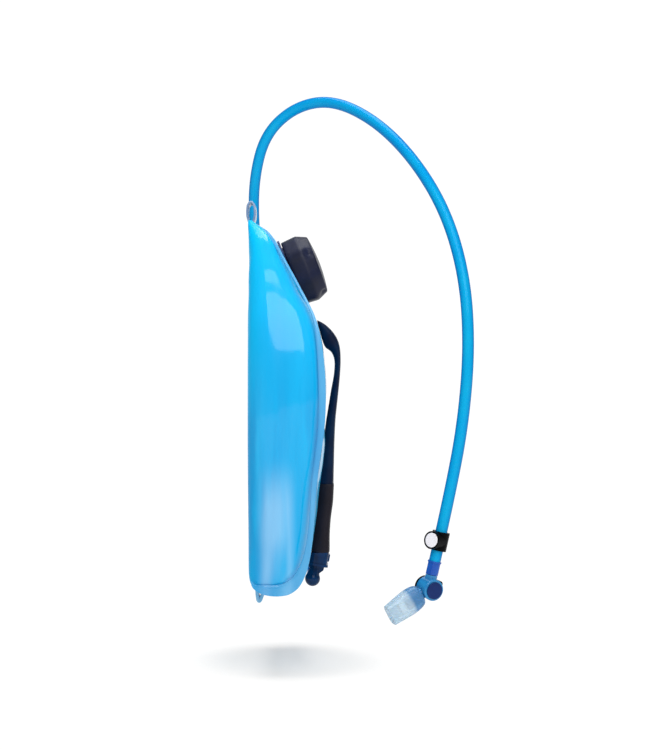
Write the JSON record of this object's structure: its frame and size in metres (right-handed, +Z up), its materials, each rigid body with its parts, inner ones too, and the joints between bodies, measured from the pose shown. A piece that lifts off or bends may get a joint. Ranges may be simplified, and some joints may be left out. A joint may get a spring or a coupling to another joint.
{
  "type": "hydration bladder",
  "caption": "Gusseted film water bag with hang loop, screw cap, moulded handle, quick-disconnect outlet and a long drink hose with magnet clip and shut-off bite valve.",
  "frame": {"origin": "centre of the hang loop eye at the top of the back", "axes": "+Z up as it hangs, -X out of the flat back panel, +X towards cap and handle, Y across the bag, the hose arching towards -Y"},
  "size_m": [0.2059, 0.262, 0.4812],
  "materials": {
    "film": "glossy translucent blue film",
    "clear_film": "clear welded film",
    "navy_plastic": "moulded, satin",
    "handle_plastic": "moulded, satin",
    "sleeve_rubber": "soft moulded",
    "teal_plastic": "moulded, glossy",
    "seal_rubber": "silicone",
    "spring_steel": "wire",
    "hose": "glossy translucent tube",
    "black_plastic": "moulded, satin",
    "magnet_shell": "bright disc",
    "valve_plastic": "moulded, glossy",
    "silicone": "soft translucent silicone"
  },
  "bodies": {
    "root": {"back_panel": "film", "side_gusset": "film", "front_panel": "film", "hang_loop": "clear_film", "bottom_loop": "clear_film", "neck_ring": "navy_plastic", "handle_grip": "handle_plastic", "handle_sleeve": "sleeve_rubber", "outlet_port": "teal_plastic", "qd_socket": "teal_plastic", "button_spring": "spring_steel", "poppet_spring": "spring_steel"},
    "cap_carrier": {"cap_gasket": "seal_rubber"},
    "cap": {"cap": "navy_plastic"},
    "button": {"release_button": "teal_plastic"},
    "poppet": {"poppet": "teal_plastic"},
    "hose_set": {"plug_elbow": "teal_plastic", "plug_seal": "seal_rubber", "drink_hose": "hose", "valve_connector": "valve_plastic", "connector_seal": "seal_rubber"},
    "clip": {"clip_band": "black_plastic", "clip_magnet": "magnet_shell"},
    "valve": {"valve_elbow": "valve_plastic", "bite_valve": "silicone"},
    "shutoff": {"shutoff_dial": "valve_plastic", "dial_lever": "black_plastic", "dial_seal": "seal_rubber"}
  },
  "joints": [
    {"name": "cap_lift", "type": "slide", "parent": "root", "child": "cap_carrier", "axis": [0.9323, 0, 0.3616], "range_m": [0, 0.0091]},
    {"name": "cap_turn", "type": "hinge", "parent": "cap_carrier", "child": "cap", "pos_m": [0.0367, 0, -0.0582], "axis": [0.9323, 0, 0.3616], "range_deg": [0, 540]},
    {"name": "button_press", "type": "slide", "parent": "root", "child": "button", "axis": [-0.9848, 0, 0.1736], "range_m": [0, 0.0015], "stiffness_N_per_m": 500, "springref_m": -0.002},
    {"name": "hose_unplug", "type": "slide", "parent": "root", "child": "hose_set", "axis": [-0.1736, 0, -0.9848], "range_m": [0, 0.02]},
    {"name": "poppet_travel", "type": "slide", "parent": "root", "child": "poppet", "axis": [-0.1736, 0, -0.9848], "range_m": [0, 0.0034]},
    {"name": "clip_slide", "type": "slide", "parent": "hose_set", "child": "clip", "axis": [0.2197, 0, 0.9756], "range_m": [-0.007, 0.007]},
    {"name": "valve_turn", "type": "hinge", "parent": "hose_set", "child": "valve", "pos_m": [0.1656, -0.114, -0.3157], "axis": [-0.2197, 0, -0.9756], "continuous": true},
    {"name": "shutoff_turn", "type": "hinge", "parent": "valve", "child": "shutoff", "pos_m": [0.16028, -0.114, -0.33931], "axis": [-0.4291, 0.8981, 0.0966], "range_deg": [0, 90]}
  ],
  "couplings": [
    {"joint": "cap_lift", "follows": "cap_turn", "m_per_rad": 0.00095493},
    {"joint": "poppet_travel", "follows": "hose_unplug", "ratio": 0.165}
  ]
}
